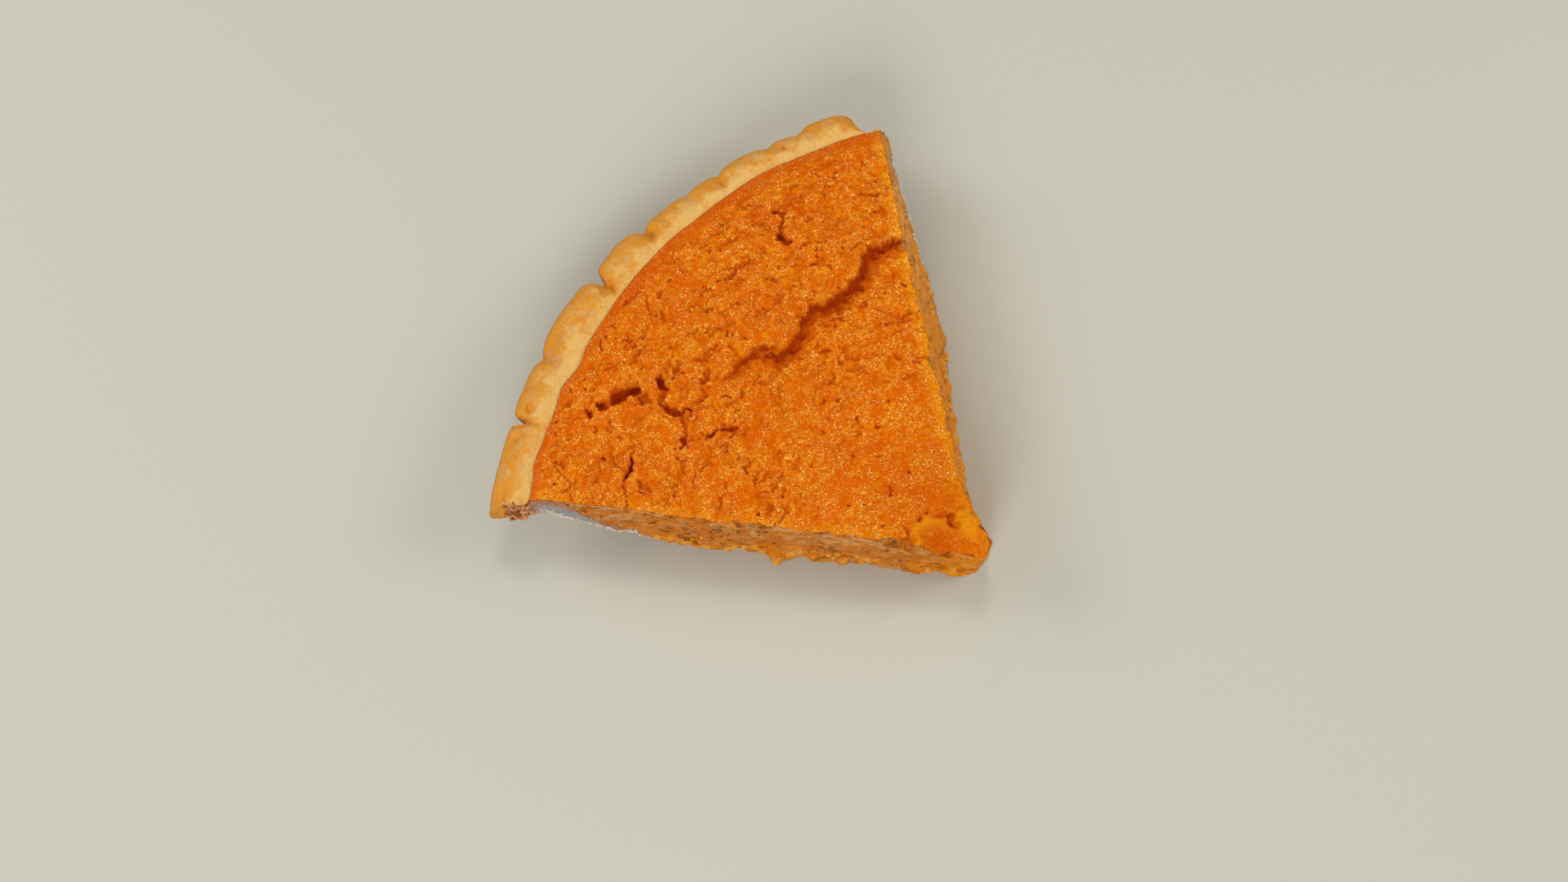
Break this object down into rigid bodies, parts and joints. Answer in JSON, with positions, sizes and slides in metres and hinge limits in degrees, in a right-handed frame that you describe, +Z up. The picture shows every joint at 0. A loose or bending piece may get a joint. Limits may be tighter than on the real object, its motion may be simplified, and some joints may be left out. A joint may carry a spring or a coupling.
{
  "type": "slice of sweet potato pie",
  "caption": "Wedge-shaped slice of sweet potato pie: cracked orange filling in a pastry shell with a finger-pressed rim, two rough cut faces and a broken, blunt tip.",
  "frame": {"origin": "centre of the slice's box, on the plane of its flat underside", "axes": "+X from the front cut towards the right cut, across the slice; +Y from the tip to the rim; +Z up"},
  "size_m": [0.1403, 0.1219, 0.0286],
  "materials": {
    "crust": "matte baked pastry, pale golden tan with ochre spots and browner edges",
    "filling": "moist baked custard, vivid orange with a fine sparkling grain, redder by the rim"
  },
  "bodies": {
    "root": {"crust": "crust", "filling": "filling"}
  },
  "joints": []
}
